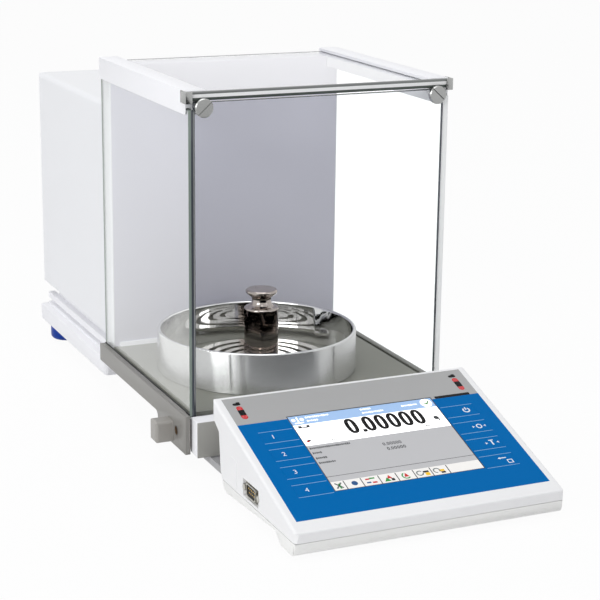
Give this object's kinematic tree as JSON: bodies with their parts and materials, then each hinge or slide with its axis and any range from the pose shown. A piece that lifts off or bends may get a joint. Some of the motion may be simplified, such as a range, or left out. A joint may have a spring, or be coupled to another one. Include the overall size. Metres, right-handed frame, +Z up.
{
  "type": "mass comparator",
  "caption": "Laboratory mass comparator: glass draft shield with sliding side doors, draft ring and slotted pan, housing behind, sloped display terminal in front.",
  "frame": {"origin": "on the table under the middle of the whole instrument's width and depth", "axes": "+X to the right of someone facing the display, +Y to the rear housing, +Z up"},
  "size_m": [0.251, 0.6028, 0.286],
  "materials": {
    "white_enamel": "smooth semi-gloss enamel on sheet metal",
    "white_casting": "white powder coat on aluminium",
    "lavender_coat": "pale lavender-grey matt coat",
    "grey_coat": "matt grey coat",
    "carrier_grey": "fine satin grey coat",
    "bare_aluminium": "milled",
    "steel": "brushed",
    "polished_aluminium": "turned and polished",
    "polished_steel": "polished stainless steel",
    "pane_glass": "clear float glass with ground edges",
    "black_rubber": "matt black",
    "foot_blue": "moulded, slight gloss",
    "handle_grey": "fine matt",
    "screw_brass": "dull brass",
    "coil_copper": "enamelled copper wire",
    "magnet_iron": "machined soft iron",
    "board_green": "glass-fibre board",
    "terminal_white": "fine moulded texture",
    "terminal_grey": "fine moulded texture",
    "panel_blue": "printed polyester film",
    "display_grey": "display window",
    "sensor_red": "dark red infrared window",
    "port_metal": "plated steel",
    "port_black": "moulded"
  },
  "bodies": {
    "base": {"housing_cover": "white_enamel", "base_plate": "white_casting", "front_sill": "white_casting", "top_rails": "white_casting", "door_tracks": "white_casting", "back_wall": "lavender_coat", "chamber_floor": "grey_coat", "front_panel": "grey_coat", "terminal_bracket": "grey_coat", "chamber_tray": "bare_aluminium", "cell_frame": "bare_aluminium", "top_bar": "steel", "bar_brackets": "steel", "front_glass": "pane_glass", "terminal_feet": "black_rubber", "magnet_pot": "magnet_iron", "main_board": "board_green", "terminal_board": "board_green", "terminal_top": "terminal_white", "terminal_bottom": "terminal_grey", "panel_overlay": "panel_blue", "display": "display_grey", "sensor_windows": "sensor_red", "data_port_shell": "port_metal", "data_port_insert": "port_black", "rear_ports": "port_black", "rear_port_tray": "port_black"},
    "left_door": {"left_door_glass": "pane_glass", "left_door_seal": "black_rubber", "left_door_carrier": "carrier_grey", "left_door_handle": "handle_grey", "left_door_screw": "screw_brass"},
    "right_door": {"right_door_glass": "pane_glass", "right_door_seal": "black_rubber", "right_door_carrier": "carrier_grey", "right_door_handle": "handle_grey", "right_door_screw": "screw_brass"},
    "top_glass": {"top_glass": "pane_glass"},
    "draft_ring": {"draft_ring": "polished_aluminium"},
    "pan": {"weighing_pan": "polished_steel", "pan_stem": "steel", "load_arm": "bare_aluminium"},
    "lever": {"balance_lever": "bare_aluminium", "lever_coil": "coil_copper"},
    "reference_weight": {"reference_weight": "polished_steel"},
    "left_clamp_screw": {"left_clamp_screw": "steel"},
    "right_clamp_screw": {"right_clamp_screw": "steel"},
    "front_left_foot": {"front_left_foot": "foot_blue"},
    "front_right_foot": {"front_right_foot": "foot_blue"},
    "rear_left_foot": {"rear_left_foot": "foot_blue"},
    "rear_right_foot": {"rear_right_foot": "foot_blue"},
    "left_key_1": {"left_key_1": "panel_blue"},
    "left_key_2": {"left_key_2": "panel_blue"},
    "left_key_3": {"left_key_3": "panel_blue"},
    "left_key_4": {"left_key_4": "panel_blue"},
    "right_key_1": {"right_key_1": "panel_blue"},
    "right_key_2": {"right_key_2": "panel_blue"},
    "right_key_3": {"right_key_3": "panel_blue"},
    "right_key_4": {"right_key_4": "panel_blue"}
  },
  "joints": [
    {"name": "left_door_slide", "type": "slide", "parent": "base", "child": "left_door", "axis": [0, 1, 0], "range_m": [0, 0.14]},
    {"name": "right_door_slide", "type": "slide", "parent": "base", "child": "right_door", "axis": [0, 1, 0], "range_m": [0, 0.14]},
    {"name": "top_glass_slide", "type": "slide", "parent": "base", "child": "top_glass", "axis": [0, 1, 0], "range_m": [0, 0.11]},
    {"name": "draft_ring_lift", "type": "slide", "parent": "base", "child": "draft_ring", "axis": [0, 0, 1], "range_m": [0, 0.06]},
    {"name": "pan_deflection", "type": "slide", "parent": "base", "child": "pan", "axis": [0, 0, 1], "range_m": [-0.0003, 0.0003], "stiffness_N_per_m": 60000},
    {"name": "lever_pivot", "type": "hinge", "parent": "base", "child": "lever", "pos_m": [0, 0.1645, 0.07], "axis": [1, 0, 0], "range_deg": [-1.5, 1.5]},
    {"name": "weight_lift", "type": "slide", "parent": "pan", "child": "reference_weight", "axis": [0, 0, 1], "range_m": [0, 0.12]},
    {"name": "front_left_foot_turn", "type": "hinge", "parent": "base", "child": "front_left_foot", "pos_m": [-0.055, -0.0755, 0.014], "axis": [0, 0, 1], "continuous": true},
    {"name": "front_right_foot_turn", "type": "hinge", "parent": "base", "child": "front_right_foot", "pos_m": [0.055, -0.0755, 0.014], "axis": [0, 0, 1], "continuous": true},
    {"name": "rear_left_foot_turn", "type": "hinge", "parent": "base", "child": "rear_left_foot", "pos_m": [-0.091, 0.2605, 0.014], "axis": [0, 0, 1], "continuous": true},
    {"name": "rear_right_foot_turn", "type": "hinge", "parent": "base", "child": "rear_right_foot", "pos_m": [0.091, 0.2605, 0.014], "axis": [0, 0, 1], "continuous": true},
    {"name": "left_clamp_turn", "type": "hinge", "parent": "base", "child": "left_clamp_screw", "pos_m": [-0.095, -0.1105, 0.274], "axis": [0, 1, 0], "continuous": true},
    {"name": "right_clamp_turn", "type": "hinge", "parent": "base", "child": "right_clamp_screw", "pos_m": [0.095, -0.1105, 0.274], "axis": [0, 1, 0], "continuous": true},
    {"name": "left_key_1_press", "type": "slide", "parent": "base", "child": "left_key_1", "axis": [0, 0.3024, -0.9532], "range_m": [0, 0.0004], "stiffness_N_per_m": 3000},
    {"name": "left_key_2_press", "type": "slide", "parent": "base", "child": "left_key_2", "axis": [0, 0.3024, -0.9532], "range_m": [0, 0.0004], "stiffness_N_per_m": 3000},
    {"name": "left_key_3_press", "type": "slide", "parent": "base", "child": "left_key_3", "axis": [0, 0.3024, -0.9532], "range_m": [0, 0.0004], "stiffness_N_per_m": 3000},
    {"name": "left_key_4_press", "type": "slide", "parent": "base", "child": "left_key_4", "axis": [0, 0.3024, -0.9532], "range_m": [0, 0.0004], "stiffness_N_per_m": 3000},
    {"name": "right_key_1_press", "type": "slide", "parent": "base", "child": "right_key_1", "axis": [0, 0.3024, -0.9532], "range_m": [0, 0.0004], "stiffness_N_per_m": 3000},
    {"name": "right_key_2_press", "type": "slide", "parent": "base", "child": "right_key_2", "axis": [0, 0.3024, -0.9532], "range_m": [0, 0.0004], "stiffness_N_per_m": 3000},
    {"name": "right_key_3_press", "type": "slide", "parent": "base", "child": "right_key_3", "axis": [0, 0.3024, -0.9532], "range_m": [0, 0.0004], "stiffness_N_per_m": 3000},
    {"name": "right_key_4_press", "type": "slide", "parent": "base", "child": "right_key_4", "axis": [0, 0.3024, -0.9532], "range_m": [0, 0.0004], "stiffness_N_per_m": 3000}
  ],
  "couplings": [
    {"joint": "lever_pivot", "follows": "pan_deflection", "rad_per_m": -76.923}
  ]
}
